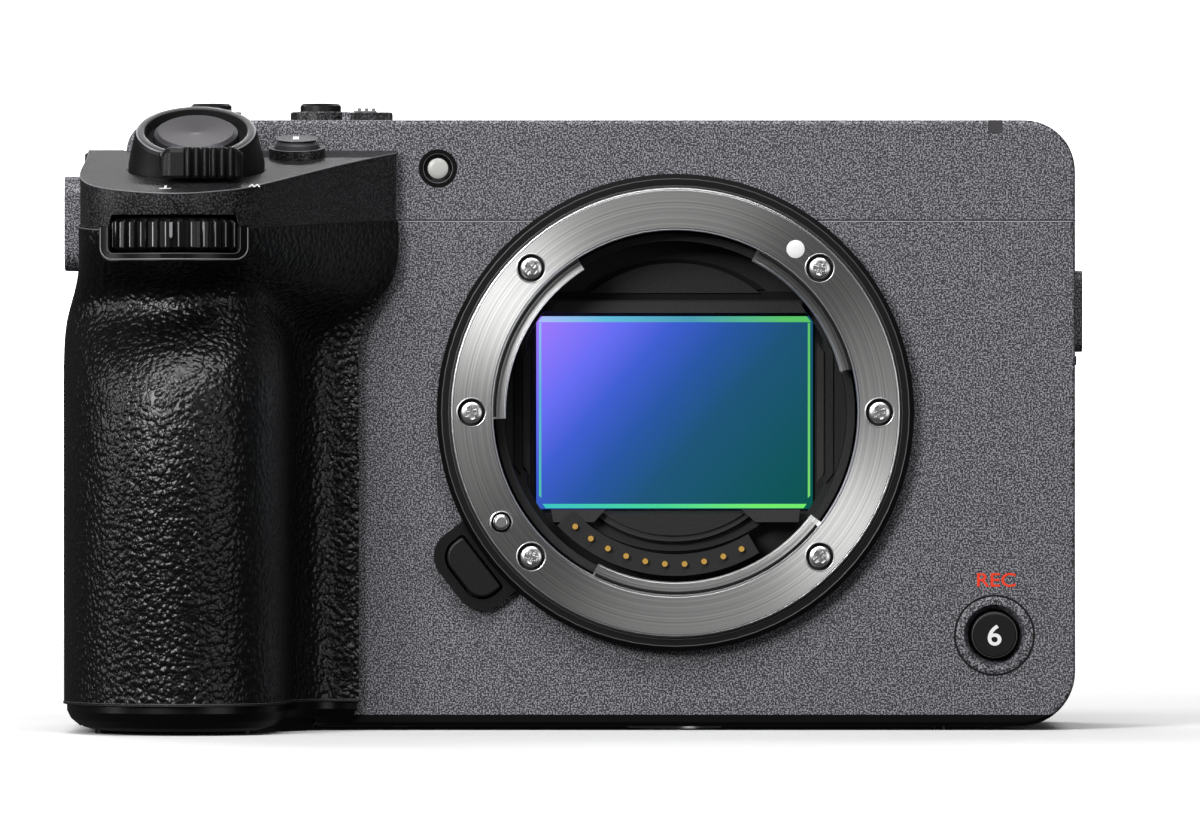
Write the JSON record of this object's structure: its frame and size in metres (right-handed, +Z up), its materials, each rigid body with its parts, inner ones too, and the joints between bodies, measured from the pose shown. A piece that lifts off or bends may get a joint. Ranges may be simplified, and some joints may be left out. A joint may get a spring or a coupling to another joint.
{
  "type": "cinema camera body",
  "caption": "Box-shaped cinema camera body with a moulded side grip, an open round lens mount showing the image sensor, and a hinged rear monitor.",
  "frame": {"origin": "centre of the tripod socket's mouth, on the base plane and below the image plane", "axes": "+X towards the side away from the grip, -Y along the lens axis out of the camera, +Z up"},
  "size_m": [0.1304, 0.0847, 0.0803],
  "materials": {
    "case_paint": "satin fine grain",
    "black_plastic": "satin",
    "gloss_black": "polished",
    "dark_metal": "satin",
    "grip_rubber": "leather grain",
    "black_rubber": "matt",
    "ring_steel": "turned",
    "bright_steel": "machined",
    "screw_steel": "polished",
    "contact_gold": "gold plated",
    "baffle_black": "flocked matt",
    "sensor_glass": "coated",
    "sensor_face": "iridescent silicon",
    "aluminium": "machined",
    "board_green": "solder mask",
    "screen_glass": "coated glass",
    "window_milk": "milky",
    "tally_red": "dark red tint"
  },
  "bodies": {
    "camera_body": {"accessory_shoe": "bright_steel", "battery_pack": "black_plastic", "bottom_cover": "black_plastic", "card_slots": "black_plastic", "chassis": "aluminium", "contact_block": "baffle_black", "contact_pins": "contact_gold", "dial_bezel": "black_plastic", "fan_housing": "black_plastic", "front_cover": "case_paint", "grip_base": "gloss_black", "grip_deck": "black_plastic", "grip_frame": "black_plastic", "grip_rubber": "grip_rubber", "heat_sink": "aluminium", "jack_block": "black_plastic", "light_sensor": "window_milk", "main_board": "board_green", "monitor_hinge": "dark_metal", "mount_ring": "ring_steel", "mount_screws": "screw_steel", "mount_trim_ring": "dark_metal", "rear_cover": "case_paint", "record_button_ring": "black_plastic", "side_bosses": "case_paint", "strap_lugs": "bright_steel", "tally_window": "tally_red", "thread_inserts": "bright_steel", "throat_baffle": "baffle_black", "top_cover": "case_paint", "tripod_socket": "bright_steel"},
    "monitor": {"monitor_shell": "black_plastic", "monitor_glass": "screen_glass", "monitor_arm": "black_plastic"},
    "release_key": {"lens_release_button": "gloss_black"},
    "lock_pin": {"lens_lock_pin": "bright_steel"},
    "shutter_key": {"shutter_button": "gloss_black"},
    "zoom_ring": {"zoom_lever": "black_plastic"},
    "deck_key": {"deck_button": "black_plastic"},
    "front_wheel": {"front_dial": "dark_metal"},
    "rear_wheel": {"rear_dial": "dark_metal"},
    "record_key": {"record_button": "gloss_black"},
    "custom_key": {"custom_button": "black_plastic"},
    "top_record_key": {"top_record_button": "black_plastic"},
    "power_slider": {"power_switch": "black_plastic"},
    "thumb_wheel": {"control_wheel": "dark_metal"},
    "select_key": {"select_button": "black_plastic"},
    "menu_key": {"menu_button": "black_plastic"},
    "function_key": {"function_button": "black_plastic"},
    "playback_key": {"playback_button": "black_plastic"},
    "stick": {"joystick": "black_rubber"},
    "battery_hatch": {"battery_door": "black_plastic"},
    "hatch_latch": {"battery_door_latch": "gloss_black"},
    "card_hatch": {"card_door": "grip_rubber"},
    "port_hatch": {"port_door": "case_paint"},
    "fan": {"fan_rotor": "black_plastic"},
    "stabiliser": {"stabiliser_frame": "dark_metal"},
    "stage": {"sensor_stage": "aluminium", "image_sensor": "sensor_face", "sensor_glass": "sensor_glass"}
  },
  "joints": [
    {"name": "monitor_swing", "type": "hinge", "parent": "camera_body", "child": "monitor", "pos_m": [0.0476, 0.0324, 0.035], "axis": [0, 0, -1], "range_deg": [0, 176]},
    {"name": "release_press", "type": "slide", "parent": "camera_body", "child": "release_key", "axis": [0, 1, 0], "range_m": [0, 0.0016], "stiffness_N_per_m": 300},
    {"name": "lock_pin_slide", "type": "slide", "parent": "camera_body", "child": "lock_pin", "axis": [0, 1, 0], "range_m": [0, 0.0016]},
    {"name": "shutter_press", "type": "slide", "parent": "camera_body", "child": "shutter_key", "axis": [0, 0.4384, -0.8988], "range_m": [0, 0.001], "stiffness_N_per_m": 300},
    {"name": "zoom_turn", "type": "hinge", "parent": "camera_body", "child": "zoom_ring", "pos_m": [-0.0605, -0.0323, 0.076], "axis": [0, -0.4384, 0.8988], "range_deg": [-20, 20], "stiffness_Nm_per_rad": 0.02},
    {"name": "deck_press", "type": "slide", "parent": "camera_body", "child": "deck_key", "axis": [0, 0.1736, -0.9848], "range_m": [0, 0.0005], "stiffness_N_per_m": 300},
    {"name": "front_dial_turn", "type": "hinge", "parent": "camera_body", "child": "front_wheel", "pos_m": [-0.0628, -0.0399, 0.0627], "axis": [0, 0, 1], "continuous": true},
    {"name": "rear_dial_turn", "type": "hinge", "parent": "camera_body", "child": "rear_wheel", "pos_m": [-0.057, 0.0224, 0.071], "axis": [0, 0, 1], "continuous": true},
    {"name": "record_press", "type": "slide", "parent": "camera_body", "child": "record_key", "axis": [0, 1, 0], "range_m": [0, 0.0005], "stiffness_N_per_m": 300},
    {"name": "custom_press", "type": "slide", "parent": "camera_body", "child": "custom_key", "axis": [0, 0, -1], "range_m": [0, 0.0006], "stiffness_N_per_m": 300},
    {"name": "top_record_press", "type": "slide", "parent": "camera_body", "child": "top_record_key", "axis": [0, 0, -1], "range_m": [0, 0.0006], "stiffness_N_per_m": 300},
    {"name": "power_slide", "type": "slide", "parent": "camera_body", "child": "power_slider", "axis": [1, 0, 0], "range_m": [0, 0.002]},
    {"name": "thumb_wheel_turn", "type": "hinge", "parent": "camera_body", "child": "thumb_wheel", "pos_m": [-0.0565, 0.0295, 0.03], "axis": [0, 1, 0], "continuous": true},
    {"name": "select_press", "type": "slide", "parent": "camera_body", "child": "select_key", "axis": [0, -1, 0], "range_m": [0, 0.0006], "stiffness_N_per_m": 300},
    {"name": "menu_press", "type": "slide", "parent": "camera_body", "child": "menu_key", "axis": [0, -1, 0], "range_m": [0, 0.0006], "stiffness_N_per_m": 300},
    {"name": "function_press", "type": "slide", "parent": "camera_body", "child": "function_key", "axis": [0, -1, 0], "range_m": [0, 0.0006], "stiffness_N_per_m": 300},
    {"name": "playback_press", "type": "slide", "parent": "camera_body", "child": "playback_key", "axis": [0, -1, 0], "range_m": [0, 0.0006], "stiffness_N_per_m": 300},
    {"name": "stick_tilt", "type": "hinge", "parent": "camera_body", "child": "stick", "pos_m": [-0.0475, 0.0275, 0.052], "axis": [1, 0, 0], "range_deg": [-8, 8], "stiffness_Nm_per_rad": 0.005},
    {"name": "battery_hatch_swing", "type": "hinge", "parent": "camera_body", "child": "battery_hatch", "pos_m": [-0.047, -0.006, 0.00095], "axis": [0, -1, 0], "range_deg": [0, 100]},
    {"name": "hatch_latch_slide", "type": "slide", "parent": "battery_hatch", "child": "hatch_latch", "axis": [0, -1, 0], "range_m": [0, 0.0034]},
    {"name": "port_hatch_swing", "type": "hinge", "parent": "camera_body", "child": "port_hatch", "pos_m": [0.05025, 0.024, 0.03], "axis": [0, 0, 1], "range_deg": [0, 95]},
    {"name": "fan_turn", "type": "hinge", "parent": "camera_body", "child": "fan", "pos_m": [0.027, 0.0127, 0.038], "axis": [0, 1, 0], "continuous": true},
    {"name": "stabiliser_shift", "type": "slide", "parent": "camera_body", "child": "stabiliser", "axis": [1, 0, 0], "range_m": [-0.001, 0.001], "stiffness_N_per_m": 2000},
    {"name": "stage_shift", "type": "slide", "parent": "stabiliser", "child": "stage", "axis": [0, 0, 1], "range_m": [-0.001, 0.001], "stiffness_N_per_m": 2000},
    {"name": "card_hatch_swing", "type": "hinge", "parent": "camera_body", "child": "card_hatch", "pos_m": [-0.0769, 0.0206, 0.0395], "axis": [0, 0, -1], "range_deg": [0, 95]}
  ],
  "couplings": [
    {"joint": "lock_pin_slide", "follows": "release_press", "ratio": 1}
  ]
}
